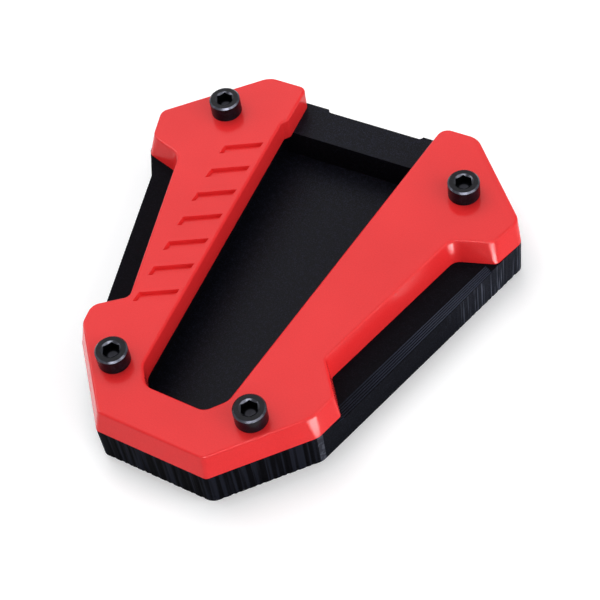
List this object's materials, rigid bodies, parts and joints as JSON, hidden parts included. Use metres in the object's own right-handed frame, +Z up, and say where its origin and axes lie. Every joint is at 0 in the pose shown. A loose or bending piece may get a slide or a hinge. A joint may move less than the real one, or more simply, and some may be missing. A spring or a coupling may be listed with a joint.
{
  "type": "kickstand foot enlarger",
  "caption": "Flat pad that clamps around the foot of a motorcycle side stand and widens it; a fluted base plate with a foot pocket under a forked clamp cover held by socket cap screws.",
  "frame": {"origin": "middle of the ground face of the base plate, at the centre of the plan", "axes": "+Y from the narrow closed end towards the wide open end, +Z up from the ground, +X to the right seen from the narrow end"},
  "size_m": [0.09, 0.0986, 0.019],
  "materials": {
    "base_plate": "black anodised over a fine blasted surface",
    "clamp_cover": "satin red anodised",
    "cap_screws": "black oxide"
  },
  "bodies": {
    "root": {"base_plate": "base_plate", "clamp_cover": "clamp_cover", "cap_screws": "cap_screws"}
  },
  "joints": []
}
